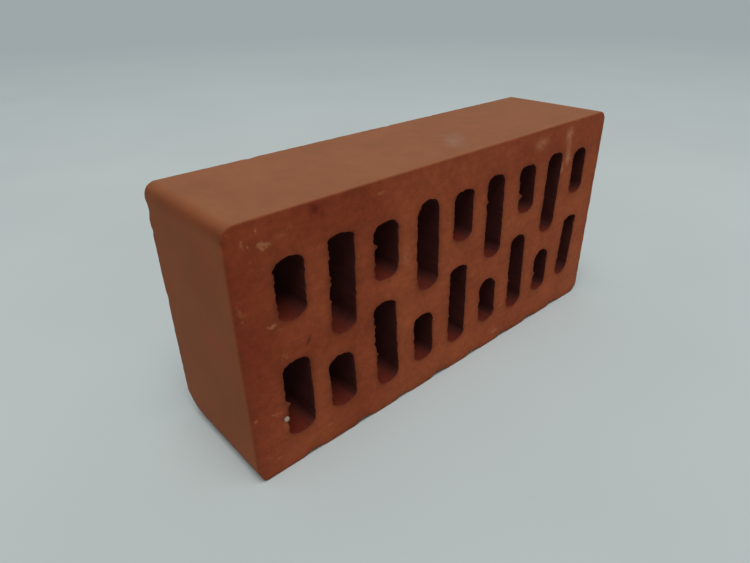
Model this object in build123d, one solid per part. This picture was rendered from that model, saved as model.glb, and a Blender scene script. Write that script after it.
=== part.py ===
from build123d import *
import os

# Perforated clay brick, extruded as a column, cut to thickness by wires and fired as one piece.
# It stands on its grooved stretcher face: X runs along the length, Y through the thickness,
# which is the way the clay left the die, and Z points up. The origin is the centre of the
# underside. The two wire-cut bed faces look along -Y and +Y. Sizes are in millimetres.

# Format of the brick
brick_length = 250.0
brick_height = 120.0
brick_thickness = 65.0

# Edges: the die rounds the long ones, and the wire leaves a small arris round the bed faces
die_corner_radius = 6.0
wire_arris_radius = 0.8

# Walls of clay left round and between the slots
end_wall = 16.2
side_wall = 16.6
row_web = 11.8

# Slots: two rows of upright slots, short and long by turns, so that the rows interlock
slot_columns = 9
slot_width = 14.5
slot_corner_radius = 5.0
short_slot_height = 28.5
end_slot_drop = 5.5

# Shallow scalloped grooves along the rear stretcher face, the one that the brick stands on
groove_count = 8
groove_width = 13.0
groove_depth = 1.7
groove_end_land = 21.5

# Sizes that follow from the ones above
long_slot_height = brick_height - 2 * side_wall - row_web - short_slot_height
slot_pitch = (brick_length - 2 * end_wall - slot_width) / (slot_columns - 1)
slot_corner = min(slot_corner_radius, 0.49 * slot_width)
groove_pitch = (brick_length - 2 * groove_end_land - groove_width) / (groove_count - 1)
groove_radius = (groove_width**2 / 4 + groove_depth**2) / (2 * groove_depth)


def through_thickness(section):
    """Carry a section drawn in X and Z through the whole thickness, half to each side."""
    return extrude(Plane.XZ * section, amount=brick_thickness / 2, both=True)


def clay_column():
    """The plain block: rounded by the die along its length of travel, with small wire-cut arrises."""
    outline = Pos(0, brick_height / 2) * RectangleRounded(brick_length, brick_height, die_corner_radius)
    block = through_thickness(outline)
    bed_faces = [block.faces().sort_by(Axis.Y)[0], block.faces().sort_by(Axis.Y)[-1]]
    arrises = [edge for face in bed_faces for edge in face.outer_wire().edges()]
    return fillet(arrises, wire_arris_radius)


def slot(x, bottom, height):
    """Section of one upright slot with rounded corners, from its lowest edge up."""
    return Pos(x, bottom + height / 2) * RectangleRounded(slot_width, height, slot_corner)


def slot_pattern():
    """Both rows of slots: where the upper slot of a column is short, the lower one is long."""
    sections = []
    first_x = -brick_length / 2 + end_wall + slot_width / 2
    for column in range(slot_columns):
        x = first_x + column * slot_pitch
        outermost = column in (0, slot_columns - 1)
        if column % 2 == 0:
            upper_height = short_slot_height
            lower_height = long_slot_height - (end_slot_drop if outermost else 0)
        else:
            upper_height = long_slot_height
            lower_height = short_slot_height
        sections.append(slot(x, brick_height - side_wall - upper_height, upper_height))
        sections.append(slot(x, side_wall, lower_height))
    return Sketch() + sections


def groove_pattern():
    """Round-bottomed grooves that reach up into the underside, evenly spaced along the length."""
    first_x = -brick_length / 2 + groove_end_land + groove_width / 2
    centre_z = groove_depth - groove_radius
    places = [Pos(first_x + number * groove_pitch, centre_z) for number in range(groove_count)]
    return Sketch() + [place * Circle(groove_radius) for place in places]


def clay_brick():
    """The fired brick: the column with its slots and its rear grooves."""
    return clay_column() - through_thickness(slot_pattern()) - through_thickness(groove_pattern())


os.makedirs("parts", exist_ok=True)
export_step(clay_brick(), "parts/clay_brick.step")
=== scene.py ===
"""Looks of a perforated clay brick: its worn, wire-cut and fired surface, and a stage to show it on.

The brick stands on a stretcher face. X runs along its length, Y through its thickness, which is the way
the clay left the die, and Z points up. The bed faces, which the wires cut, look along -Y and +Y.
"""

import math
from collections import namedtuple

import bmesh
import bpy
import numpy as np
from mathutils import Matrix, Vector


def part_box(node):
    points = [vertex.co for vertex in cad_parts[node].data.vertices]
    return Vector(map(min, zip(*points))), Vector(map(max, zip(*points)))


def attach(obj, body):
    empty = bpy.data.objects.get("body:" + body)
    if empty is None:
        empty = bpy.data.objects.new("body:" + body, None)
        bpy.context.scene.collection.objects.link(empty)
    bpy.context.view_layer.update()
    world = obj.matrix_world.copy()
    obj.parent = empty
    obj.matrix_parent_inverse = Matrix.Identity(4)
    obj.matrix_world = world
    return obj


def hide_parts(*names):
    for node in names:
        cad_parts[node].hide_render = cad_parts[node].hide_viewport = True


bl_info = {
    "name": "Clay Brick",
    "version": (1, 0, 0),
    "blender": (4, 5, 0),
    "location": "View3D > Sidebar > Clay Brick",
    "description": "Makes a perforated, wire-cut clay brick and a stage to show it on",
    "category": "Object",
}

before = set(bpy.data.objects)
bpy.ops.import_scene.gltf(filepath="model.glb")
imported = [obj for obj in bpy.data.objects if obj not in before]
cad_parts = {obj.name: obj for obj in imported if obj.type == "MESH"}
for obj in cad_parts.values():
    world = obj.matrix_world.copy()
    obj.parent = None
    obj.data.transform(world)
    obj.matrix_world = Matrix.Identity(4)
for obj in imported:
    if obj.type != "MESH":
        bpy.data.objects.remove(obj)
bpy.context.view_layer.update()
BRICK_LOW, BRICK_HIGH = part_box("clay_brick")
BRICK_SIZE = BRICK_HIGH - BRICK_LOW
MM = 0.001

# Pattern of the slots and grooves
SLOT_COLUMNS = 9
GROOVES = 8

# Steps of the surface grids: across and up the slotted middle, and from a slot's rim out to its cell
STEPS_ACROSS_CELL = 28
STEPS_UP = 132
FRONT_CELL_RINGS = (0.0, 0.05, 0.14, 0.27, 0.45, 0.7, 1.0)
REAR_CELL_RINGS = (0.0, 0.1, 0.4, 1.0)
FRONT_BORDER_RINGS = 10
REAR_BORDER_RINGS = 6
ARRIS_STEPS = 3
BAND_STEPS = 14
WALL_DEPTHS = (0.0, 0.5, 1.2, 2.4, 5.0, 13.0, 32.0, 55.0, 63.0, 64.4, 65.0)

# Order of the finishes in the brick's material slots
CUT, SKIN, BORE = range(3)

# How each slot strays from its place, in millimetres, from the left column to the right one: sideways, at
# its foot, at its head and in width, then its lean to the right for each millimetre up. The two caps are
# for the head and the foot: how high the cap is, and how square, where 2 is round and less is peaked
UPPER_STRAYS = (
    (2.0, -0.8, -2.0, -1.0, 0.000, (4.5, 2.3), (4.6, 2.1)),
    (1.6, -0.1, -0.3, -1.2, 0.012, (3.2, 2.6), (5.0, 2.0)),
    (0.8, -1.2, -2.5, -0.6, 0.009, (4.2, 2.2), (4.0, 2.1)),
    (1.7, 1.2, 0.3, -0.5, -0.019, (6.8, 1.9), (5.0, 2.0)),
    (0.6, 0.8, -1.2, -0.9, 0.004, (4.0, 2.3), (4.6, 2.0)),
    (-0.2, 1.7, 0.5, -1.3, -0.030, (4.2, 2.2), (4.6, 2.0)),
    (1.1, 1.5, -0.3, -1.1, -0.066, (3.6, 2.4), (4.2, 2.1)),
    (0.1, 1.4, 0.9, -1.6, 0.028, (4.5, 2.3), (4.6, 2.1)),
    (0.4, 0.8, -1.2, -1.9, -0.007, (4.5, 2.2), (4.6, 2.1)),
)
LOWER_STRAYS = (
    (1.1, -0.2, -2.7, -1.0, -0.008, (4.5, 2.2), (4.4, 2.2)),
    (-0.9, 1.1, 1.0, -0.7, -0.058, (5.0, 2.1), (4.6, 2.1)),
    (0.5, -1.1, -0.7, -1.3, -0.051, (3.2, 1.4), (4.6, 2.0)),
    (0.1, 0.6, -0.6, -1.7, -0.036, (4.5, 2.2), (3.8, 2.0)),
    (-0.4, 0.1, -1.0, -1.8, -0.015, (3.4, 2.4), (4.6, 2.0)),
    (-0.4, 2.0, 0.5, -1.2, -0.047, (5.5, 2.0), (4.2, 2.1)),
    (-0.8, 1.2, 0.7, -1.6, -0.039, (5.0, 2.0), (4.6, 2.0)),
    (-0.9, 2.9, 1.1, -1.7, -0.016, (5.0, 2.0), (4.6, 2.1)),
    (-0.5, 5.2, 2.7, -2.1, 0.059, (2.8, 2.2), (5.0, 2.0)),
)

# Teeth of torn clay on the front rims, by row and column from the left: the side of the slot, height, half
# height and reach, which is below 0 for a bite
TORN_TEETH = {
    ("upper", 1): ((-1, 99.7, 1.2, 0.7),),
    ("upper", 2): (
        (-1, 94.2, 0.8, 1.0), (-1, 85.3, 0.8, 1.1), (-1, 82.3, 0.8, 0.9), (-1, 74.3, 0.8, 0.9),
        (-1, 92.2, 1.2, 0.8),
    ),
    ("upper", 3): ((-1, 98.5, 0.7, 0.8), (-1, 91.0, 1.0, 2.0), (-1, 82.8, 0.8, 1.0)),
    ("upper", 4): ((-1, 79.0, 4.5, -0.8),),
    ("upper", 6): ((-1, 91.2, 0.8, 0.9),),
    ("upper", 7): ((-1, 87.0, 1.5, 2.6),),
    ("lower", 1): ((-1, 34.5, 1.2, 1.7), (-1, 28.5, 5.0, 0.9), (-1, 41.6, 1.2, -0.6)),
    ("lower", 3): ((-1, 51.4, 0.7, 0.8), (-1, 35.2, 0.8, 0.9)),
    ("lower", 5): ((-1, 34.8, 0.9, 1.1), (-1, 47.5, 1.0, 0.8), (-1, 53.4, 0.9, 0.5)),
    ("lower", 6): ((-1, 34.2, 0.9, 0.6),),
    ("lower", 7): ((-1, 37.3, 0.9, 1.0),),
    ("lower", 8): ((-1, 32.1, 1.2, 1.8),),
    ("lower", 9): (
        (1, 53.8, 0.9, 1.0), (-1, 34.6, 1.0, 0.6), (-1, 44.8, 1.1, 0.7), (-1, 52.6, 1.0, 0.5),
    ),
}

# How far each groove of the underside strays along X, and what it adds to the depth, in millimetres
GROOVE_STRAYS = (
    (0.5, -0.25), (3.0, 0.0), (1.6, -0.25), (0.6, 0.1), (1.4, -0.2), (0.6, 0.0), (-0.8, 0.1), (-1.2, 0.0),
)

# Pale specks of clay rubbed on the front bed face, and two that are a painted highlight on a slot's rim:
# middle and half sizes along X and Z, and strength
SPECKS = (
    (-108.7, 109.2, 1.9, 1.3, 0.92), (-106.6, 108.9, 1.4, 1.0, 0.84), (-110.9, 109.8, 1.4, 1.0, 0.90),
    (-109.4, 110.8, 1.2, 0.8, 0.72), (-109.0, 107.4, 1.2, 1.2, 0.80), (-117.4, 112.6, 1.4, 1.3, 0.68),
    (-117.0, 110.7, 1.2, 1.1, 0.68), (-111.1, 115.7, 0.9, 1.8, 0.80), (-115.0, 110.4, 1.0, 1.0, 0.66),
    # The specks at (-105.0, 57.7) and (-107.9, 56.5) are a painted highlight on the lit rim over the head of
    # the first lower slot
    (-109.5, 74.9, 2.6, 1.2, 0.92), (-106.6, 72.2, 2.6, 1.3, 0.52), (-105.0, 57.7, 3.0, 1.0, 0.84),
    (-107.9, 56.5, 1.5, 0.9, 0.62), (-111.2, 32.6, 1.3, 1.3, 0.74), (-113.9, 33.0, 1.7, 1.0, 0.62),
    (-111.3, 27.2, 1.1, 1.1, 0.58), (-122.2, 34.6, 1.6, 1.4, 0.78), (-85.7, 10.4, 2.6, 1.1, 0.50),
    (-114.1, 8.8, 2.0, 1.2, 0.48), (-121.5, 86.3, 3.0, 9.0, 0.36), (-52.3, 114.1, 3.2, 1.2, 0.62),
    (35.7, 6.4, 5.0, 1.6, 0.54), (89.2, 116.1, 1.3, 1.4, 0.64),
)

# Soft pale smears on the front bed face: middle and half sizes along X and Z, and strength
SMEARS = (
    (61.4, 112.4, 6.0, 3.2, 0.62), (87.6, 112.0, 3.4, 4.6, 0.78), (88.4, 104.5, 2.8, 8.0, 0.54),
    (89.4, 99.4, 3.0, 4.2, 0.78), (84.4, 94.3, 1.6, 3.2, 0.80), (-38.3, 80.3, 2.5, 6.0, 0.26),
    (33.7, 7.3, 4.0, 1.5, 0.32), (-108.4, 22.8, 1.1, 3.0, 0.24), (-106.0, 35.0, 0.8, 0.8, 0.34),
    (117.0, 14.0, 16.0, 30.0, 0.11), (-101.2, 110.4, 3.6, 1.0, 0.17), (-97.4, 112.5, 1.6, 1.2, 0.14),
)

# Bloom of lime on the upper face: middle along X and Y, half size and strength
BLOOMS = (
    (11.3, -15.5, 4.2, 0.26), (16.5, -10.5, 4.6, 0.18), (21.5, -6.0, 4.6, 0.11), (6.2, -20.3, 4.2, 0.13),
)

# Dark scars in the front bed face: middle and half sizes along X and Z, and strength
SCARS = (
    (-93.4, 61.5, 1.2, 1.9, 1.00), (-86.0, 116.4, 1.6, 1.2, 0.40), (-82.5, 113.6, 1.3, 1.3, 0.36),
)

# Clouds that the kiln left on the bed faces: middle and half sizes along X and Z, and how much more orange
CLOUDS = (
    ((-125.0, 70.0), (46.0, 130.0), -0.46), ((-64.0, 60.0), (24.0, 110.0), -0.22),
    ((-90.0, 110.0), (26.0, 24.0), -0.26), ((70.0, 108.0), (90.0, 22.0), -0.14),
    ((-110.0, 8.0), (26.0, 34.0), 0.12), ((118.0, 45.0), (34.0, 60.0), 0.12),
    ((30.0, 60.0), (70.0, 40.0), 0.05), ((-70.0, 116.0), (60.0, 18.0), -0.18),
    ((-88.0, 60.0), (18.0, 16.0), -0.22), ((0.0, 124.0), (170.0, 12.0), -0.12),
    ((-85.5, 116.0), (5.0, 5.0), -0.25), ((-22.0, 8.0), (40.0, 18.0), 0.16),
    ((62.0, 100.0), (16.0, 14.0), 0.14), ((-62.0, 103.0), (45.0, 16.0), -0.12),
)

# Corners knocked off: the side of X and Y and whether the top, then the lengths lost along X, Y and Z
KNOCKS = (
    (-1, 1, False, (10.0, 18.0, 11.5)), (-1, -1, False, (3.1, 400.0, 8.6)), (1, 1, False, (5.0, 7.0, 4.0)),
    (-1, 1, True, (3.0, 4.0, 3.0)), (1, -1, False, (6.0, 2.5, 4.0)),
)

# How deep the chips of the upper edges are against those of the other edges
TOP_CHIP_SHARE = 0.35

# Bites out of upright arrises of the rear bed face: side of X, height, half length and depth
BITES = ((-1, 109.0, 6.0, 0.7), (-1, 99.0, 3.0, 0.4), (-1, 66.0, 6.0, 0.4), (1, 41.0, 6.0, 1.2))

# How deep into the clay the spots of the front bed face and of the upper face reach
FRONT_SPOT_DEPTH = 2.0
UPPER_SPOT_DEPTH = 3.0

# Pebble of lime at the left rim of the first lower slot: middle, half sizes and lean
PEBBLE_PLACE = (-107.6, -31.4, 26.7)
PEBBLE_HALF_SIZES = (1.35, 0.95, 1.80)
PEBBLE_LEAN = -0.15

# Pit that the lime burst open in the front bed face: depth, reach along the face and into the clay
PIT_DEPTH = 1.2
PIT_REACH = 3.4
PIT_FADE = 5.0

# Angle between faces above which an edge shows as sharp
SHARP_ANGLE = math.radians(50)

# The stage, in metres: half the floor's width, where its fade into the haze starts and ends, and the lamp
FLOOR_HALF = 3.0
FLOOR_FADE = (0.5, 1.9)
LAMP_SIZE = 5.2
LAMP_PLACE = (-1.45, -2.03, 8.12)

# Width of the camera's sensor in millimetres
SENSOR_WIDTH = 36.0

SlotForm = namedtuple("SlotForm", "row column x low high half_width lean head foot")
Patch = namedtuple("Patch", "points finish turned")


def number_value(name, value, description, **settings):
    """A number property, with its unit, subtype and limits."""
    return bpy.props.FloatProperty(name=name, description=description, default=value, **settings)


def vector_value(name, value, description, **settings):
    """A property of three numbers, with its unit, subtype and limits."""
    return bpy.props.FloatVectorProperty(name=name, description=description, default=value, **settings)


def length_value(name, millimetres, description):
    """A length property whose default is given in millimetres."""
    return number_value(name, millimetres * MM, description, unit="LENGTH", precision=5)


def colour_value(name, colour, description):
    """A colour property whose default is linear red, green and blue."""
    return vector_value(name, colour, description, subtype="COLOR", min=0.0, max=1.0)


class BrickShape(bpy.types.PropertyGroup):
    """Sizes that the die and the wires give the brick."""

    length: length_value("Length", BRICK_SIZE.x / MM, "Along X, from header to header")
    thickness: length_value("Thickness", BRICK_SIZE.y / MM, "Along Y, from bed face to bed face")
    height: length_value("Height", BRICK_SIZE.z / MM, "Along Z, from stretcher to stretcher")
    corner_radius: length_value("Corner radius", 6.0, "Rounding of the long edges that the die forms")
    arris_radius: length_value("Arris radius", 0.8, "Rounding round the bed faces")
    end_wall: length_value("End wall", 16.2, "Clay between a header and the first slot")
    side_wall: length_value("Side wall", 16.6, "Clay between a stretcher and the slots")
    row_web: length_value("Row web", 11.8, "Clay between the upper and the lower slot of a column")
    slot_width: length_value("Slot width", 14.5, "Width of a slot along X")
    short_slot: length_value("Short slot", 28.5, "Height of the short slots")
    end_slot_drop: length_value("End slot drop", 5.5, "What the lower end slots lack of a long slot")
    groove_width: length_value("Groove width", 13.0, "Width of a groove in the underside")
    groove_depth: length_value("Groove depth", 1.7, "Depth of a groove in the underside")
    groove_end_land: length_value("Groove end land", 21.5, "From a header to the first groove")


class BrickWear(bpy.types.PropertyGroup):
    """Relief that cutting, drying and handling leave on the brick."""

    rim_rag: length_value("Rim rag", 0.72, "How far the torn left rims of the slots stray")
    rag_reach: length_value("Rag reach", 2.0, "How deep into a slot its torn rim shows")
    side_wave: length_value("Side wave", 0.35, "How far the sides of the slots wave")
    rim_round: length_value("Rim rounding", 0.12, "How far the rim of a slot flares")
    lip_reach: length_value("Lip reach", 0.6, "How deep into a slot its flare shows")
    drag_relief: length_value("Drag relief", 0.12, "Depth of the streaks that the wire drags along X")
    lump_relief: length_value("Lump relief", 0.3, "Depth of the uneven patches of a bed face")
    skin_relief: length_value("Skin relief", 0.15, "Depth of the waves of the smooth faces")
    arris_chips: length_value("Arris chips", 0.8, "Depth of the chips along the edges of the bed faces")
    seed: bpy.props.IntProperty(name="Seed", description="Start of the random draws", default=7, min=0)


class BrickFinish(bpy.types.PropertyGroup):
    """Colours of the fired clay; the walls and floors of the slots and the headers' skin also carry painted
    shade and light.
    """

    skin: colour_value("Skin", (0.272, 0.101, 0.043), "Smooth stretcher faces that the die formed")
    # Skin of the headers: darker and redder than the stretchers', partly their own tone and partly painted
    # shade for how light falls on them
    skin_header_and_shade: colour_value("Skin, header", (0.243, 0.067, 0.0165), "Smooth header faces")
    skin_flush: colour_value("Skin, flushed", (0.252, 0.053, 0.015), "Redder patches of the header faces")
    cut: colour_value("Cut", (0.178, 0.019, 0.0068), "Bed faces that the wire cut")
    cut_flash: colour_value("Cut, flashed", (0.389, 0.096, 0.0335), "More orange parts of the bed faces")
    # Painted shade: the walls of the slots near their rims are set much darker than the clay
    bore_painted_shade: colour_value("Bore", (0.060, 0.014, 0.011), "Walls of the slots near their rims")
    bore_deep: colour_value("Bore, deep", (0.170, 0.048, 0.040), "Walls of the slots deep inside")
    # Lighter colour of the slots' floors: partly dust, partly painted light
    bore_dust_and_light: colour_value("Bore, dusty", (0.260, 0.0380, 0.0140), "Floors of the slots, where dust lies")
    # Also the colour of a painted highlight on a slot's rim
    speck: colour_value("Speck", (0.510, 0.222, 0.092), "Specks of clay rubbed on")
    smear: colour_value("Smear", (0.560, 0.250, 0.122), "Soft pale smears")
    lime: colour_value("Lime", (0.400, 0.335, 0.285), "Pebble of lime in the clay")


class BrickStage(bpy.types.PropertyGroup):
    """Floor, light and camera."""

    floor: colour_value("Floor", (0.502, 0.563, 0.557), "Pale floor")
    sky: colour_value("Sky", (1.000, 1.000, 1.000), "Light from all round")
    haze: colour_value("Haze", (0.340, 0.390, 0.405), "Backdrop that the camera sees behind the floor")
    sky_level: number_value("Sky level", 0.30, "Strength of the light from all round", min=0.0)
    key_power: number_value("Key power", 505.0, "Power of the large lamp overhead", min=0.0, unit="POWER")
    camera_place: vector_value(
        "Camera place", (-0.19669, -0.19283, 0.19233), "Where the camera stands",
        subtype="XYZ", unit="LENGTH",
    )
    camera_gaze: vector_value(
        "Camera gaze", (0.57475, 0.65995, -0.48386), "Direction that the camera looks in",
        subtype="DIRECTION",
    )
    camera_roll: number_value(
        "Camera roll", math.radians(-1.0987), "Turn of the camera about its gaze", subtype="ANGLE"
    )
    lens: number_value("Lens", 26.798, "Focal length in millimetres, on a sensor 36 mm wide", min=1.0)


def clay_noise(points, cell, seed):
    """Smooth noise between about -1 and 1.

    Every corner of a lattice has a random slope. The value at a point is the mean of what the slopes of the
    eight corners round it give there, weighted along each axis by 6t^5 - 15t^4 + 10t^3. The cell is one
    size, or one for each axis.
    """
    lattice = 48
    gain = 1.5
    slopes = np.random.default_rng(seed).normal(size=(lattice, lattice, lattice, 3))
    slopes /= np.linalg.norm(slopes, axis=-1, keepdims=True)
    place = points / np.asarray(cell)
    corner = np.floor(place).astype(int)
    offset = place - corner
    weight = offset**3 * (offset * (offset * 6 - 15) + 10)
    total = np.zeros(points.shape[:-1])
    for step in np.ndindex(2, 2, 2):
        index = (corner + step) % lattice
        slope = slopes[index[..., 0], index[..., 1], index[..., 2]]
        rise = np.sum(slope * (offset - step), axis=-1)
        total += rise * np.prod(np.where(step, weight, 1 - weight), axis=-1)
    return total * gain


def fade(distance, reach):
    """1 at no distance, falling to 0 at the reach along 3s^2 - 2s^3."""
    share = np.clip(1 - distance / reach, 0, 1)
    return share * share * (3 - 2 * share)


def rectangle_loop(left, right, low, high, across, up):
    """Points round a rectangle, counter-clockwise from the lower left, in equal steps on each side."""
    level = np.arange(across) / across
    upright = np.arange(up) / up
    width, height = right - left, high - low
    x = [left + width * level, np.full(up, right), right - width * level, np.full(up, left)]
    z = [np.full(across, low), low + height * upright, np.full(across, high), high - height * upright]
    return np.stack([np.concatenate(x), np.concatenate(z)], axis=-1)


def die_outline(shape, across, up):
    """The section's rounded outline and its outward directions, counter-clockwise from the lower left.

    Each side runs in equal steps from the middle of one rounded corner to the middle of the next: an
    eighth of a turn, a straight run and an eighth of a turn. A point is the core of the side, which is the
    straight run moved in by the corner radius, plus the radius along the outward direction.
    """
    radius = shape.corner_radius
    eighth = math.pi / 4 * radius
    points, directions = [], []
    sides = ((across, shape.length, shape.height), (up, shape.height, shape.length)) * 2
    for quarter, (steps, side, other) in enumerate(sides):
        along = np.array([math.cos(quarter * math.pi / 2), math.sin(quarter * math.pi / 2)])
        outward = np.array([along[1], -along[0]])
        straight = side - 2 * radius
        travel = np.arange(steps) / steps * (straight + 2 * eighth) - eighth
        run = np.clip(travel, 0, straight)
        turn = (travel - run)[:, None] / radius
        direction = outward * np.cos(turn) + along * np.sin(turn)
        core = outward * (other / 2 - radius) + along * (run - straight / 2)[:, None]
        points.append(core + radius * direction)
        directions.append(direction)
    middle = np.array([0.0, shape.height / 2])
    return np.concatenate(points) + middle, np.concatenate(directions)


def column_pitch(shape):
    """Distance from one column of slots to the next."""
    return (shape.length - 2 * shape.end_wall - shape.slot_width) / (SLOT_COLUMNS - 1)


def slot_forms(shape):
    """All slots as they are in the clay: each column's lower and upper slot, with their strays."""
    forms = []
    long_slot = shape.height - 2 * shape.side_wall - shape.row_web - shape.short_slot
    first = -shape.length / 2 + shape.end_wall + shape.slot_width / 2
    for column in range(SLOT_COLUMNS):
        x = first + column * column_pitch(shape)
        lower, upper = (long_slot, shape.short_slot) if column % 2 == 0 else (shape.short_slot, long_slot)
        if column in (0, SLOT_COLUMNS - 1):
            lower -= shape.end_slot_drop
        top = shape.height - shape.side_wall
        spans = (
            ("lower", shape.side_wall, shape.side_wall + lower, LOWER_STRAYS[column]),
            ("upper", top - upper, top, UPPER_STRAYS[column]),
        )
        for row, low, high, (aside, foot, head, width, lean, head_cap, foot_cap) in spans:
            forms.append(SlotForm(
                row, column, x + aside * MM, low + foot * MM, high + head * MM,
                (shape.slot_width + width * MM) / 2, lean, head_cap, foot_cap,
            ))
    return forms


def cell_loop(shape, form):
    """Loop round the cell of clay that a slot stands in.

    The cells of a column meet in the middle of the web between its slots, and all cells share the same
    steps up, so that neighbours have the same points on their common sides.
    """
    low = shape.side_wall - shape.row_web / 2
    step = (shape.height - 2 * low) / STEPS_UP
    short_cell = round((shape.short_slot + shape.row_web) / step)
    split = STEPS_UP - short_cell if form.column % 2 == 0 else short_cell
    first, last = (0, split) if form.row == "lower" else (split, STEPS_UP)
    left = (form.column - SLOT_COLUMNS / 2) * column_pitch(shape)
    right = left + column_pitch(shape)
    low, high = low + first * step, low + last * step
    return rectangle_loop(left, right, low, high, STEPS_ACROSS_CELL, last - first)


def slot_rim(loop, form):
    """Where rays from the slot's spine to the points of a loop round it cross the slot's edge.

    The spine is the middle line, short of both ends by the heights of their caps. A ray leaves the spine
    beside its loop point. With u its part across over half the width, and v its part up over the cap's
    height, the edge lies where |u|^n + |v|^n is 1, which gives straight sides beside the spine and caps
    past its ends. The lean then moves each point sideways in proportion to its height. Returns the edge
    and the directions of the rays.
    """
    (head, head_power), (foot, foot_power) = form.head, form.foot
    height = np.clip(loop[:, 1], form.low + foot * MM, form.high - head * MM)
    spine = np.stack([np.full(len(loop), form.x), height], -1)
    ray = loop - spine
    above = ray[:, 1] > 0
    power = np.where(above, head_power, foot_power)
    across = np.abs(ray[:, 0]) / form.half_width
    up = np.abs(ray[:, 1]) / (np.where(above, head, foot) * MM)
    edge = spine + ray / ((across**power + up**power) ** (1 / power))[:, None]
    edge[:, 0] += form.lean * (edge[:, 1] - (form.low + form.high) / 2)
    return edge, ray / np.linalg.norm(ray, axis=-1, keepdims=True)


def flat_points(section, y):
    """Points of a section in X and Z, set at the depth y."""
    return np.stack([section[..., 0], np.broadcast_to(y, section.shape[:-1]), section[..., 1]], axis=-1)


def rim_rags(edge, ray, form, wear, y):
    """How far the torn rim of a slot reaches into it at one bed face.

    Two sizes of noise, strongest on the left side, where the wire tore the clay on its way to the right,
    plus the single teeth of the front face, each a bell curve of height.
    """
    fine_cell, wide_cell = 2.0 * MM, 4.5 * MM
    wide_share = 0.6
    right_share = 0.62
    place = flat_points(edge, y)
    fine = clay_noise(place, fine_cell, wear.seed + 1)
    torn = fine + wide_share * clay_noise(place, wide_cell, wear.seed + 2)
    left = np.clip(-ray[:, 0], 0, 1) ** 2
    rag = wear.rim_rag * torn * (right_share + (1 - right_share) * left)
    if y < 0:
        for side, height, half_height, reach in TORN_TEETH.get((form.row, form.column + 1), ()):
            off = (edge[:, 1] / MM - height) / half_height
            rag += np.clip(side * ray[:, 0], 0, 1) ** 2 * reach * MM * np.exp(-off * off)
    return rag


def slot_patches(shape, wear, form):
    """A slot's wall and the rings of bed face from its rims to its cell, at the front and the rear.

    The wall is the slot's edge carried through the thickness. Near each bed face it moves in by the rags of
    the rim and out by its lip. Both fade into the slot as exp(-depth / reach). A ring lies between the rim
    and the cell.
    """
    wave_cell = 9 * MM
    loop = cell_loop(shape, form)
    edge, ray = slot_rim(loop, form)
    wave = clay_noise(flat_points(edge, 0.0), wave_cell, wear.seed)
    edge = edge + ray * wear.side_wave * wave[:, None]
    half = shape.thickness / 2
    front_rag = rim_rags(edge, ray, form, wear, -half)[:, None]
    rear_rag = rim_rags(edge, ray, form, wear, half)[:, None]
    depth = np.array(WALL_DEPTHS)[:, None, None] * shape.thickness / WALL_DEPTHS[-1]
    reach_in = 0
    for rag, inward in ((front_rag, depth), (rear_rag, shape.thickness - depth)):
        reach_in = reach_in + rag * np.exp(-inward / wear.rag_reach)
        reach_in = reach_in - wear.rim_round * np.exp(-inward / wear.lip_reach)
    wall = flat_points(edge - ray * reach_in, depth[..., 0] - half)
    patches = [Patch(wall, BORE, False)]
    for rim, rings, face in ((wall[0], FRONT_CELL_RINGS, -half), (wall[-1], REAR_CELL_RINGS, half)):
        share = np.array(rings)[:, None, None]
        ring = rim * (1 - share) + flat_points(loop, face) * share
        patches.append(Patch(ring, CUT, face < 0))
    return patches


def border_patches(shape):
    """The clay round the slots: both bed faces from the cells out to the arris, and the die-formed band.

    The band is the outline carried through the thickness, moved in along a quarter round of the arris
    radius at both ends, which is flatter along the underside. Its rows lie closer together towards the bed
    faces, as (1 - cos(pi t)) / 2.
    """
    flattening = 0.6
    low = shape.side_wall - shape.row_web / 2
    reach = SLOT_COLUMNS / 2 * column_pitch(shape)
    across = SLOT_COLUMNS * STEPS_ACROSS_CELL
    inner = rectangle_loop(-reach, reach, low, shape.height - low, across, STEPS_UP)
    outline, outward = die_outline(shape, across, STEPS_UP)
    half, arris = shape.thickness / 2, shape.arris_radius

    angle = np.linspace(0, math.pi / 2, ARRIS_STEPS + 1)
    inset = arris * (1 - np.sin(angle))
    front = arris * (1 - np.cos(angle)) - half
    spacing = (1 - np.cos(np.linspace(0, math.pi, BAND_STEPS + 1)[1:-1])) / 2
    middle = arris - half + (shape.thickness - 2 * arris) * spacing
    insets = np.concatenate([inset, np.zeros(len(middle)), inset[::-1]])
    levels = np.concatenate([front, middle, -front[::-1]])
    flatter = 1 - flattening * np.clip(-outward[:, 1:], 0, 1)
    band = flat_points(outline - outward * flatter * insets[:, None, None], levels[:, None])

    skin_ends = ARRIS_STEPS, len(levels) - ARRIS_STEPS
    patches = [
        Patch(band[:skin_ends[0] + 1], CUT, True),
        Patch(band[skin_ends[0]:skin_ends[1]], SKIN, True),
        Patch(band[skin_ends[1] - 1:], CUT, True),
    ]
    for edge, rings, face in ((band[0], FRONT_BORDER_RINGS, -half), (band[-1], REAR_BORDER_RINGS, half)):
        share = np.linspace(0, 1, rings + 1)[:, None, None]
        ring = flat_points(inner, face) * (1 - share) + edge * share
        patches.append(Patch(ring, CUT, face < 0))
    return patches


def inside_outline(points, shape):
    """Distance from each point in to the section's rounded outline, and the outward direction there.

    With q the point's offset past the core rectangle, which is the section less the corner radius, the
    distance is the radius less the length of q's positive part, or less the larger of its parts inside.
    """
    place = points[:, [0, 2]] - np.array([0.0, shape.height / 2])
    core = np.array([shape.length, shape.height]) / 2 - shape.corner_radius
    past = np.abs(place) - core
    corner = np.maximum(past, 0)
    length = np.linalg.norm(corner, axis=-1)
    distance = shape.corner_radius - length - np.minimum(past.max(axis=-1), 0)
    nearest = (past == past.max(axis=-1, keepdims=True)).astype(float)
    direction = np.where(length[:, None] > 0, corner / np.maximum(length, 1e-9)[:, None], nearest)
    return distance, direction * np.sign(place)


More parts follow.
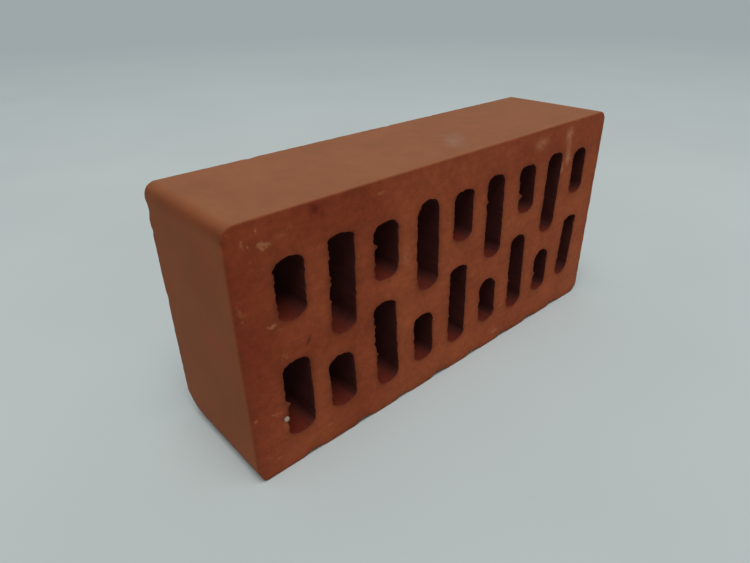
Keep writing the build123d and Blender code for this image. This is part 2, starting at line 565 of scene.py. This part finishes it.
def groove_cuts(points, shape, wear):
    """Raises the underside into its grooves.

    A groove is a low arch along Y, 1 - t^2 high, where t runs from the apex to the groove's side: steep on
    the left, slow on the right. The rise dies out within one and a half corner radii above the underside.
    """
    waver, waver_cell = 0.5 * MM, 5 * MM
    left_share, right_share = 0.38, 0.62
    fade_reach = 1.5 * shape.corner_radius
    first = -shape.length / 2 + shape.groove_end_land + shape.groove_width / 2
    pitch = -2 * first / (GROOVES - 1)
    x = points[:, 0] + waver * clay_noise(points, waver_cell, wear.seed + 3)
    rise = np.zeros(len(points))
    for number, (aside, deeper) in enumerate(GROOVE_STRAYS):
        apex = first + number * pitch + aside * MM
        side = np.where(x < apex, left_share, right_share) * shape.groove_width
        arch = np.clip(1 - ((x - apex) / side) ** 2, 0, 1)
        rise = np.maximum(rise, arch * (shape.groove_depth + deeper * MM))
    points[:, 2] += rise * fade(np.maximum(points[:, 2], 0), fade_reach)


def wire_marks(points, shape, wear):
    """Sinks the bed faces into streaks along X and wider lumps, both noise, fading out below the face."""
    reach = 1.6 * MM
    streak_cell = (16 * MM, 20 * MM, 1.1 * MM)
    lump_cell = 8 * MM
    side = np.sign(points[:, 1])
    near = fade(shape.thickness / 2 - np.abs(points[:, 1]), reach)
    streak = clay_noise(points, streak_cell, wear.seed + 4)
    lump = clay_noise(points, lump_cell, wear.seed + 5)
    sink = wear.drag_relief * (1 + streak) / 2 + wear.lump_relief * np.clip(lump, 0, 1) ** 2
    points[:, 1] -= side * near * sink


def lime_pit(points, shape, wear):
    """Sinks the front bed face round the pebble of lime, fading out away from it and into the clay."""
    off = np.hypot(points[:, 0] / MM - PEBBLE_PLACE[0], points[:, 2] / MM - PEBBLE_PLACE[2])
    depth = points[:, 1] / MM + shape.thickness / 2 / MM
    points[:, 1] += PIT_DEPTH * MM * fade(off, PIT_REACH) * fade(depth, PIT_FADE)


def skin_waves(points, shape, wear):
    """Sinks the headers and the upper face by slow noise square to them, fading out below the skin."""
    reach = 3 * MM
    wave_cell = (34 * MM, 26 * MM, 34 * MM)
    distance, outward = inside_outline(points, shape)
    wave = clay_noise(points, wave_cell, wear.seed + 6)
    sink = fade(np.abs(distance), reach) * wear.skin_relief * (1 + wave) / 2
    sink = sink * (points[:, 2] > shape.corner_radius)
    points[:, [0, 2]] -= outward * sink[:, None]


def arris_wear(points, shape, wear):
    """Chips the edges of the bed faces: points near the edge move in both ways.

    Fine noise roughens the whole edge, high peaks of slower noise chip it here and there, less so along
    the upper edges, and single bites fade out along the upright edges of the rear bed face. All of it
    shrinks in proportion to the height over the lower corner radius.
    """
    reach = 3 * MM
    rough_share, rough_cell = 0.25, 3 * MM
    chip_start, chip_gain, chip_cell = 0.42, 2.5, 7 * MM
    low_share = 0.2
    distance, outward = inside_outline(points, shape)
    side = np.sign(points[:, 1])
    depth = shape.thickness / 2 - np.abs(points[:, 1])
    near = fade(np.hypot(np.maximum(distance, 0), depth), reach)
    rough = rough_share * (1 + clay_noise(points, rough_cell, wear.seed + 8)) / 2
    chip = np.clip(clay_noise(points, chip_cell, wear.seed + 9) - chip_start, 0, 1) * chip_gain
    chip = chip * np.where(points[:, 2] > shape.height - shape.corner_radius, TOP_CHIP_SHARE, 1)
    sink = wear.arris_chips * (rough + chip)
    for side_x, height, half_length, bite in BITES:
        there = (points[:, 0] * side_x > shape.length / 2 - shape.corner_radius) & (points[:, 1] > 0)
        off = np.abs(points[:, 2] - height * MM)
        sink = np.maximum(sink, there * bite * MM * fade(off, half_length * MM))
    sink = sink * near * np.clip(points[:, 2] / shape.corner_radius, low_share, 1)
    points[:, [0, 2]] -= outward * sink[:, None]
    points[:, 1] -= side * sink


def corner_knocks(points, shape, wear):
    """Knocks corners off along slanted planes with softened edges.

    With a, b and c the distances in from the corner over the lengths lost, the plane is a + b + c = 1. A
    point short of it by d moves square to the plane by s log(1 + exp(d / s)), a softened positive part.
    """
    soft = 0.09
    rough, rough_cell = 0.12, 4 * MM
    for side_x, side_y, top, lost in KNOCKS:
        corner = np.array([side_x * shape.length / 2, side_y * shape.thickness / 2, shape.height * top])
        inward = np.array([-side_x, -side_y, -1 if top else 1]) / (np.array(lost) * MM)
        roughness = rough * clay_noise(points, rough_cell, wear.seed + 10)
        short = 1 - (points - corner) @ inward + roughness
        step = soft * np.logaddexp(0, short / soft)
        points += step[:, None] * inward / (inward @ inward)


def front_spots(shape, rows):
    """Spots of the front bed face as ellipsoids: the middle, the half sizes and the strength of each."""
    face = -shape.thickness / 2 / MM
    return [((x, face, z), (wide, FRONT_SPOT_DEPTH, tall), strength) for x, z, wide, tall, strength in rows]


def upper_spots(shape, rows):
    """Round spots of the upper face as ellipsoids: the middle, the half sizes and the strength of each."""
    face = shape.height / MM
    return [((x, y, face), (half, half, UPPER_SPOT_DEPTH), strength) for x, y, half, strength in rows]


def spot_amount(points, spots):
    """Strength of spots at each point: ellipsoids that fade out past their half sizes, at the spread."""
    spread = 1.5
    amount = np.zeros(len(points))
    for middle, half_sizes, strength in spots:
        off = np.linalg.norm((points / MM - np.array(middle)) / np.array(half_sizes), axis=-1)
        amount = np.maximum(amount, strength * fade(off, spread))
    return amount


def flash_amount(points, wear):
    """How orange the kiln left the clay, from 0 to 1: even noise, and clouds that fade to their rims."""
    even, sway, sway_cell = 0.68, 0.14, 30 * MM
    amount = even + sway * clay_noise(points, sway_cell, wear.seed + 11)
    for middle, half_sizes, change in CLOUDS:
        off = np.linalg.norm((points[:, [0, 2]] / MM - np.array(middle)) / np.array(half_sizes), axis=-1)
        amount += change * fade(off, 1)
    return np.clip(amount, 0, 1)


def skin_amount(points, shape):
    """How much of the skin's colour a point has: 0 on a bed face, 1 on the skin, rising over the arris."""
    distance = inside_outline(points, shape)[0]
    depth = shape.thickness / 2 - np.abs(points[:, 1])
    return np.clip((depth - distance) / shape.arris_radius / 2 + 0.5, 0, 1)


def edge_shade_amount(points, shape):
    """How near a point is to the edge of its bed face: exp(-distance / reach) from the section's outline.

    The reach grows towards the underside, by exp(-height / growth). The bed faces are darkened by it as
    painted shade along their edges, widest along the underside as a painted contact shadow.
    """
    upper_reach, contact_shade_reach, growth = 1.8 * MM, 1.7 * MM, 6 * MM
    distance = inside_outline(points, shape)[0]
    reach = upper_reach + contact_shade_reach * np.exp(-points[:, 2] / growth)
    return np.exp(-np.maximum(distance, 0) / reach)


def rim_shade_amount(points, forms):
    """How near a point is to the rim of a slot: exp(-distance / reach), half as much at the slot's head.

    The distance is how far the point lies past the slot's edge, along the ray from the slot's spine. The bed
    faces are darkened by it as painted shade round the slots' mouths.
    """
    reach = 1.4 * MM
    head_loss = 0.5
    section = points[:, [0, 2]]
    amount = np.zeros(len(points))
    for form in forms:
        upright = section.copy()
        upright[:, 0] -= form.lean * (section[:, 1] - (form.low + form.high) / 2)
        edge, ray = slot_rim(upright, form)
        past = np.sum((section - edge) * ray, axis=-1)
        near = np.exp(-np.maximum(past, 0) / reach)
        amount = np.maximum(amount, near * (1 - head_loss * np.clip(ray[:, 1], 0, 1)))
    return amount


def header_amount(points, shape):
    """How far a point of the skin belongs to a header: the X part of its outward direction, unsigned."""
    outward = inside_outline(points, shape)[1]
    return np.abs(outward[:, 0])


def shoulder_shade_amount(points, shape):
    """How much painted shade darkens the rounded upper edges of the headers.

    A bell curve of the depth below the top, which grows from two thirds to its full height along a run
    towards the front.
    """
    depth, half_depth = 2.9 * MM, 2.6 * MM
    start, run = 8 * MM, 20 * MM
    off = (shape.height - points[:, 2] - depth) / half_depth
    forward = np.clip((-points[:, 1] - start) / run, 0, 1)
    return header_amount(points, shape) * np.exp(-off * off) * (2 + forward) / 3


def pebble_points(seed):
    """A lumpy pebble: an ellipsoid over a rising and a turning angle, swollen by noise and leaning."""
    rows, around = 13, 20
    swelling, swelling_cell = 0.14, 0.9
    rise = np.linspace(-math.pi / 2, math.pi / 2, rows)[:, None]
    turn = np.linspace(0, 2 * math.pi, around, endpoint=False)
    level, upward = np.cos(rise), np.sin(rise)
    ball = np.stack(np.broadcast_arrays(level * np.cos(turn), level * np.sin(turn), upward), -1)
    swollen = 1 + swelling * clay_noise(ball, swelling_cell, seed)
    ball = ball * swollen[..., None] * np.array(PEBBLE_HALF_SIZES)
    ball[..., 0] += PEBBLE_LEAN * ball[..., 2]
    return (ball + np.array(PEBBLE_PLACE)) * MM


def grid_faces(rows, around, first, turned):
    """Quads of a grid whose rows close on themselves, each quad going along its row first unless turned."""
    row, place = np.meshgrid(np.arange(rows - 1), np.arange(around), indexing="ij")
    here = first + row * around + place
    beside = first + row * around + (place + 1) % around
    quads = np.stack([here, beside, beside + around, here + around], axis=-1).reshape(-1, 4)
    return quads[:, ::-1] if turned else quads


def sewn_mesh(name, patches):
    """One mesh from patches that share their border points, which are merged."""
    merge_distance = 0.001 * MM
    first = 0
    faces, finishes = [], []
    for patch in patches:
        rows, around = patch.points.shape[:2]
        quads = grid_faces(rows, around, first, patch.turned)
        faces.append(quads)
        finishes.append(np.full(len(quads), patch.finish))
        first += rows * around
    points = np.concatenate([patch.points.reshape(-1, 3) for patch in patches])
    mesh = bpy.data.meshes.new(name)
    mesh.from_pydata(points, [], np.concatenate(faces))
    mesh.polygons.foreach_set("material_index", np.concatenate(finishes).astype(np.int32))
    sewing = bmesh.new()
    sewing.from_mesh(mesh)
    bmesh.ops.remove_doubles(sewing, verts=sewing.verts, dist=merge_distance)
    sewing.to_mesh(mesh)
    sewing.free()
    return mesh


def mesh_points(mesh):
    """All points of a mesh as an array."""
    points = np.empty(3 * len(mesh.vertices))
    mesh.vertices.foreach_get("co", points)
    return points.reshape(-1, 3)


def placed(name, mesh, *finishes):
    """A new object for the mesh, at the origin, with its materials."""
    thing = bpy.data.objects.new(name, mesh)
    for finish in finishes:
        mesh.materials.append(finish)
    bpy.context.scene.collection.objects.link(thing)
    return thing


class Wiring:
    """A tree of shading nodes, with short ways to add nodes to it and wire them up."""

    def __init__(self, tree):
        self.tree = tree

    def node(self, kind, sockets=None, **settings):
        """Adds a node, sets it up, and gives each named or numbered socket a value or a link."""
        made = self.tree.nodes.new(kind)
        for key, value in settings.items():
            setattr(made, key, value)
        for key, value in (sockets or {}).items():
            self.feed(made.inputs[key], value)
        return made

    def feed(self, socket, value):
        """Links an output to a socket, or sets its value."""
        if isinstance(value, bpy.types.NodeSocket):
            self.tree.links.new(value, socket)
        else:
            socket.default_value = value


class Finish(Wiring):
    """A material in the making, with the patterns and mixes that the clay needs."""

    def __init__(self, name):
        self.material = bpy.data.materials.new(name)
        self.material.use_nodes = True
        super().__init__(self.material.node_tree)
        self.shader = self.tree.nodes["Principled BSDF"]
        self.place = self.node("ShaderNodeTexCoord").outputs["Object"]

    def noise(self, size, detail=3.0, roughness=0.55, stretch=(1, 1, 1)):
        """Noise of a given size in metres, stretched by a factor along each axis."""
        place = self.node("ShaderNodeMapping", {"Vector": self.place, "Scale": [1 / s for s in stretch]})
        sockets = {"Vector": place.outputs[0], "Scale": 1 / size, "Detail": detail, "Roughness": roughness}
        return self.node("ShaderNodeTexNoise", sockets).outputs["Fac"]

    def specks(self, size):
        """Distance from the nearest of many scattered points, in cells of the given size, made ragged."""
        fineness, raggedness = 9, 0.2
        sockets = {"Vector": self.place, "Scale": fineness / size, "Detail": 1.0}
        stray = self.node("ShaderNodeTexNoise", sockets).outputs["Color"]
        sockets = {0: stray, 1: (raggedness * size,) * 3, 2: self.place}
        moved = self.node("ShaderNodeVectorMath", sockets, operation="MULTIPLY_ADD").outputs[0]
        sockets = {"Vector": moved, "Scale": 1 / size}
        return self.node("ShaderNodeTexVoronoi", sockets).outputs["Distance"]

    def level(self, value, low, high, bottom=0.0, top=1.0):
        """Maps a value from low..high to bottom..top, and keeps it there."""
        sockets = {"Value": value, "From Min": low, "From Max": high, "To Min": bottom, "To Max": top}
        return self.node("ShaderNodeMapRange", sockets).outputs[0]

    def plus(self, first, second):
        """Sum of two values."""
        return self.node("ShaderNodeMath", {0: first, 1: second}, operation="ADD").outputs[0]

    def times(self, first, second):
        """Product of two values."""
        return self.node("ShaderNodeMath", {0: first, 1: second}, operation="MULTIPLY").outputs[0]

    def mix(self, share, first, second, way="MIX"):
        """Mixes two colours."""
        sockets = {0: share, 6: opaque(first), 7: opaque(second)}
        return self.node("ShaderNodeMix", sockets, data_type="RGBA", blend_type=way).outputs[2]

    def shade(self, colour, value, low, high):
        """Multiplies a colour by a grey that runs from low to high over the usual range of noise."""
        noise_low, noise_high = 0.3, 0.7
        return self.mix(1.0, colour, self.level(value, noise_low, noise_high, low, high), "MULTIPLY")

    def darken(self, colour, amount, darkest):
        """Multiplies a colour by a grey that falls from 1 to the darkest as the amount rises to 1."""
        return self.mix(1.0, colour, self.level(amount, 0.0, 1.0, 1.0, darkest), "MULTIPLY")

    def attribute(self, name):
        """A value that the mesh carries at its points."""
        return self.node("ShaderNodeAttribute", attribute_name=name).outputs["Fac"]

    def bump(self, height, distance, strength=1.0, normal=None):
        """Relief of a given depth, on top of another if given."""
        sockets = {"Height": height, "Distance": distance, "Strength": strength}
        if normal is not None:
            sockets["Normal"] = normal
        return self.node("ShaderNodeBump", sockets).outputs[0]

    def done(self, sockets):
        """Feeds the shader and returns the material."""
        for key, value in sockets.items():
            self.feed(self.shader.inputs[key], value)
        return self.material


def opaque(colour):
    """A colour with full alpha; sockets pass through."""
    return colour if isinstance(colour, bpy.types.NodeSocket) else (*colour, 1.0)


def shoulder_painted_shade(clay, finish, colour):
    """Reddens and darkens a colour along the rounded upper edges of the headers, as painted shade."""
    shoulder_shade = clay.attribute("shoulder_shade")
    colour = clay.mix(clay.level(shoulder_shade, 0.35, 0.85, 0.0, 0.75), colour, finish.skin_flush)
    return clay.darken(colour, shoulder_shade, 0.55)


def wire_cut_clay(finish):
    """Bed faces: red clay, flashed more orange in clouds, gritty, lightly dragged, specked and smeared, with
    painted shade in pits, along the edges and round the slots' mouths, and a painted highlight among the
    specks.
    """
    arris_share, header_share = 0.11, 0.72
    clay = Finish("wire_cut_clay")
    colour = clay.mix(clay.attribute("flash"), finish.cut, finish.cut_flash)
    colour = clay.shade(colour, clay.noise(0.014, 3.0), 0.90, 1.10)
    colour = clay.shade(colour, clay.noise(0.0035, 2.0), 0.925, 1.075)
    streaks = clay.noise(0.0012, 3.0, stretch=(10, 10, 1))
    colour = clay.shade(colour, streaks, 0.96, 1.04)
    grain = clay.noise(0.0011, 4.0, 0.7)
    colour = clay.shade(colour, grain, 0.91, 1.09)
    # The pits are darkened as painted shade, as well as sunk by the bump
    pits = clay.level(clay.specks(0.0058), 0.04, 0.14, 0.82, 1.0)
    colour = clay.mix(1.0, colour, pits, "MULTIPLY")
    grit = clay.level(clay.specks(0.0047), 0.03, 0.14, 0.16, 0.0)
    colour = clay.mix(grit, colour, finish.smear)
    ragged = clay.level(clay.noise(0.0022, 4.0), 0.35, 0.65, 0.35, 1.0)
    colour = clay.mix(clay.times(clay.attribute("smear"), ragged), colour, finish.smear)
    ragged = clay.level(clay.noise(0.0016, 3.0, 0.6), 0.3, 0.7, 0.0, 0.5)
    specks = clay.plus(clay.attribute("specks"), ragged)
    colour = clay.mix(clay.level(specks, 0.52, 1.25, 0.0, 0.85), colour, finish.speck)
    # Scars are dark marks; the darkening by edge and rim is painted shade along the edges of the bed faces,
    # with a painted contact shadow along the underside, and round the slots' mouths
    for name, darkest in (("scars", 0.2), ("edge", 0.72), ("rim", 0.52)):
        colour = clay.darken(colour, clay.attribute(name), darkest)
    header = clay.attribute("header")
    upright = clay.times(header, clay.attribute("edge"))
    colour = clay.mix(clay.times(upright, arris_share), colour, finish.skin)
    # The headers' skin, partly painted shade, and with the painted shade of their upper edges, goes onto the
    # arris only in part
    skin = clay.mix(clay.times(header, header_share), finish.skin, finish.skin_header_and_shade)
    colour = clay.mix(clay.attribute("skin"), colour, shoulder_painted_shade(clay, finish, skin))
    normal = clay.bump(streaks, 0.00010, 0.5)
    normal = clay.bump(grain, 0.00018, 0.8, normal)
    normal = clay.bump(pits, 0.0003, 0.8, normal)
    return clay.done({"Base Color": colour, "Roughness": 0.9, "Specular IOR Level": 0.15, "Normal": normal})


def die_skin_clay(finish):
    """Faces that the die formed: smooth, lighter on the stretchers, as the headers' skin is partly painted
    shade, with soft clouds, a bloom of lime and painted shade on the headers' upper edges.
    """
    clay = Finish("die_skin_clay")
    header = clay.attribute("header")
    colour = clay.mix(header, finish.skin, finish.skin_header_and_shade)
    flush = clay.level(clay.noise(0.018, 3.0), 0.42, 0.62, 0.0, 0.55)
    colour = clay.mix(clay.times(flush, header), colour, finish.skin_flush)
    colour = shoulder_painted_shade(clay, finish, colour)
    colour = clay.shade(colour, clay.noise(0.030), 0.94, 1.06)
    colour = clay.shade(colour, clay.noise(0.009, 4.0), 0.95, 1.05)
    grain = clay.noise(0.0008, 3.0, 0.6)
    colour = clay.shade(colour, grain, 0.93, 1.07)
    colour = clay.mix(clay.attribute("smear"), colour, finish.lime)
    normal = clay.bump(grain, 0.00008, 0.5)
    return clay.done({"Base Color": colour, "Roughness": 0.75, "Specular IOR Level": 0.2, "Normal": normal})


def bore_clay(finish, half):
    """Walls of the slots: dark, most of all near the rims as painted shade, and streaked along Y by the
    cores of the die.

    Their floors are lighter, partly with dust and partly with painted light, more where a floor slopes up to
    the left, as painted light from the right, and less near the rims. Half is half the brick's thickness.
    """
    painted_light_lean = 0.7
    rim_depth, rim_dust = 0.014, 0.5
    dark_depth = 0.004
    clay = Finish("bore_clay")
    place = clay.node("ShaderNodeSeparateXYZ", {0: clay.place}).outputs
    out = clay.node("ShaderNodeMath", {0: place["Y"]}, operation="ABSOLUTE").outputs[0]
    normal = clay.node("ShaderNodeNewGeometry").outputs["Normal"]
    facing = clay.node("ShaderNodeSeparateXYZ", {0: normal}).outputs
    # The floors get a lighter colour, partly dust and partly painted light, more on flanks facing right, as
    # painted light from the right
    floor = clay.level(facing["Z"], 0.25, 0.75)
    left = clay.level(clay.plus(facing["Z"], clay.times(facing["X"], painted_light_lean)), 0.25, 1.25)
    inside = clay.level(out, half - rim_depth, half, 1.0, 0.0)
    dust_and_painted_light = clay.times(clay.times(floor, left), clay.level(inside, 0.0, 1.0, rim_dust, 1.0))
    # The walls darken towards the rims: painted shade
    deep = clay.level(out, 0.0, half - dark_depth, 1.0, 0.0)
    walls = clay.mix(deep, finish.bore_painted_shade, finish.bore_deep)
    floors = clay.mix(inside, finish.cut, finish.bore_dust_and_light)
    streaks = clay.noise(0.0012, 3.0, stretch=(1, 20, 1))
    colour = clay.mix(dust_and_painted_light, walls, floors)
    colour = clay.shade(colour, streaks, 0.9, 1.1)
    colour = clay.shade(colour, clay.noise(0.008, 3.0), 0.88, 1.12)
    normal = clay.bump(streaks, 0.0001, 0.6)
    return clay.done({"Base Color": colour, "Roughness": 0.9, "Specular IOR Level": 0.1, "Normal": normal})


def burnt_lime(finish):
    """The pebble: chalky white with a touch of clay."""
    lime = Finish("burnt_lime")
    colour = lime.mix(lime.level(lime.noise(0.0012, 3.0), 0.45, 0.75), finish.lime, finish.smear)
    normal = lime.bump(lime.noise(0.0006, 3.0), 0.0002, 0.8)
    return lime.done({"Base Color": colour, "Roughness": 0.85, "Normal": normal})


class CLAYBRICK_OT_fire_brick(bpy.types.Operator):
    """Make the brick: one closed surface of bed faces, skin and slot walls"""

    bl_idname = "claybrick.fire_brick"
    bl_label = "Fire Brick"

    def execute(self, context):
        shape, wear = context.scene.brick_shape, context.scene.brick_wear
        patches = border_patches(shape)
        forms = slot_forms(shape)
        for form in forms:
            patches += slot_patches(shape, wear, form)
        mesh = sewn_mesh("fired_brick", patches)
        points = mesh_points(mesh)
        amounts = {
            "specks": spot_amount(points, front_spots(shape, SPECKS)),
            "smear": spot_amount(points, front_spots(shape, SMEARS) + upper_spots(shape, BLOOMS)),
            "scars": spot_amount(points, front_spots(shape, SCARS)),
            "flash": flash_amount(points, wear),
            "skin": skin_amount(points, shape),
            # Painted shade along the edges of the bed faces, widest as a painted contact shadow along the
            # underside
            "edge": edge_shade_amount(points, shape),
            # Painted shade round the mouths of the slots
            "rim": rim_shade_amount(points, forms),
            "header": header_amount(points, shape),
            # Painted shade on the rounded upper edges of the headers
            "shoulder_shade": shoulder_shade_amount(points, shape),
        }
        for mark in (wire_marks, lime_pit, skin_waves, arris_wear, groove_cuts, corner_knocks):
            mark(points, shape, wear)
        points = np.clip(points, BRICK_LOW, BRICK_HIGH)
        mesh.vertices.foreach_set("co", points.ravel())
        for name, amount in amounts.items():
            mesh.attributes.new(name, "FLOAT", "POINT").data.foreach_set("value", amount)
        mesh.shade_smooth()
        mesh.set_sharp_from_angle(angle=SHARP_ANGLE)
        finish = context.scene.brick_finish
        finishes = wire_cut_clay(finish), die_skin_clay(finish), bore_clay(finish, shape.thickness / 2)
        brick = placed("fired_brick", mesh, *finishes)
        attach(brick, "root")
        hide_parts("clay_brick")
        return {"FINISHED"}


class CLAYBRICK_OT_set_pebble(bpy.types.Operator):
    """Set the pebble of lime that burst through the clay at a slot's rim"""

    bl_idname = "claybrick.set_pebble"
    bl_label = "Set Lime Pebble"

    def execute(self, context):
        mesh = sewn_mesh("lime_pebble", [Patch(pebble_points(context.scene.brick_wear.seed), 0, False)])
        mesh.shade_smooth()
        pebble = placed("lime_pebble", mesh, burnt_lime(context.scene.brick_finish))
        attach(pebble, "root")
        return {"FINISHED"}


class CLAYBRICK_OT_lay_stage(bpy.types.Operator):
    """Lay a pale floor, light it softly and set the camera"""

    bl_idname = "claybrick.lay_stage"
    bl_label = "Lay Stage"

    def execute(self, context):
        stage = context.scene.brick_stage
        self.lay_floor(stage)
        self.light(context.scene, stage)
        self.set_camera(context.scene, stage)
        context.scene.view_settings.view_transform = "Standard"
        return {"FINISHED"}

    def lay_floor(self, stage):
        """A wide level square of floor that fades into the haze."""
        half = FLOOR_HALF
        corners = [(-half, -half, 0), (half, -half, 0), (half, half, 0), (-half, half, 0)]
        mesh = bpy.data.meshes.new("pale_floor")
        mesh.from_pydata(corners, [], [(0, 1, 2, 3)])
        floor = Finish("pale_floor")
        cloud = floor.shade(stage.floor, floor.noise(0.25, 2.0), 0.97, 1.03)
        away = floor.node("ShaderNodeVectorMath", {0: floor.place}, operation="LENGTH").outputs["Value"]
        there = floor.level(away, *FLOOR_FADE, 1.0, 0.0)
        material = floor.done({"Base Color": cloud, "Roughness": 0.9, "Alpha": there})
        placed("pale_floor", mesh, material)

    def light(self, scene, stage):
        """Even light from the sky, seen as a pale haze, and a large soft lamp high up at the front left."""
        scene.world = bpy.data.worlds.new("soft_sky")
        scene.world.use_nodes = True
        air = Wiring(scene.world.node_tree)
        sky = air.tree.nodes["Background"]
        air.feed(sky.inputs["Color"], opaque(stage.sky))
        air.feed(sky.inputs["Strength"], stage.sky_level)
        haze = air.node("ShaderNodeBackground", {"Color": opaque(stage.haze)})
        path = air.node("ShaderNodeLightPath").outputs
        seen = path["Is Camera Ray"]
        for other in ("Is Glossy Ray", "Is Transmission Ray"):
            seen = air.node("ShaderNodeMath", {0: seen, 1: path[other]}, operation="MAXIMUM").outputs[0]
        mixed = air.node("ShaderNodeMixShader", {0: seen, 1: sky.outputs[0], 2: haze.outputs[0]})
        air.feed(air.tree.nodes["World Output"].inputs["Surface"], mixed.outputs[0])
        lamp = bpy.data.lights.new("key_lamp", "AREA")
        lamp.size = LAMP_SIZE
        lamp.energy = stage.key_power
        key = bpy.data.objects.new("key_lamp", lamp)
        key.location = LAMP_PLACE
        key.rotation_euler = (-key.location).to_track_quat("-Z", "Y").to_euler()
        scene.collection.objects.link(key)

    def set_camera(self, scene, stage):
        """A camera at its place, turned along its gaze and rolled about it."""
        camera = bpy.data.cameras.new("camera")
        camera.lens = stage.lens
        camera.sensor_width = SENSOR_WIDTH
        eye = bpy.data.objects.new("camera", camera)
        turn = Vector(stage.camera_gaze).to_track_quat("-Z", "Y").to_matrix().to_4x4()
        roll = Matrix.Rotation(stage.camera_roll, 4, "Z")
        eye.matrix_world = Matrix.Translation(stage.camera_place) @ turn @ roll
        scene.collection.objects.link(eye)
        scene.camera = eye


class CLAYBRICK_PT_sidebar(bpy.types.Panel):
    """Lists the steps that make the brick, in order"""

    bl_label = "Clay Brick"
    bl_space_type = "VIEW_3D"
    bl_region_type = "UI"
    bl_category = "Clay Brick"

    def draw(self, context):
        for step in STEPS:
            self.layout.operator(step.bl_idname)


GROUPS = {
    "brick_shape": BrickShape,
    "brick_wear": BrickWear,
    "brick_finish": BrickFinish,
    "brick_stage": BrickStage,
}
STEPS = (CLAYBRICK_OT_fire_brick, CLAYBRICK_OT_set_pebble, CLAYBRICK_OT_lay_stage)


def register():
    """Registers the classes and gives every scene the brick's settings."""
    for kind in (*GROUPS.values(), *STEPS, CLAYBRICK_PT_sidebar):
        bpy.utils.register_class(kind)
    for name, group in GROUPS.items():
        setattr(bpy.types.Scene, name, bpy.props.PointerProperty(type=group))


def unregister():
    """Takes the settings and the classes away again."""
    for name in GROUPS:
        delattr(bpy.types.Scene, name)
    for kind in (CLAYBRICK_PT_sidebar, *reversed(STEPS), *GROUPS.values()):
        bpy.utils.unregister_class(kind)


def main():
    """Makes everything."""
    register()
    bpy.ops.claybrick.fire_brick()
    bpy.ops.claybrick.set_pebble()
    bpy.ops.claybrick.lay_stage()


if __name__ == "__main__":
    main()
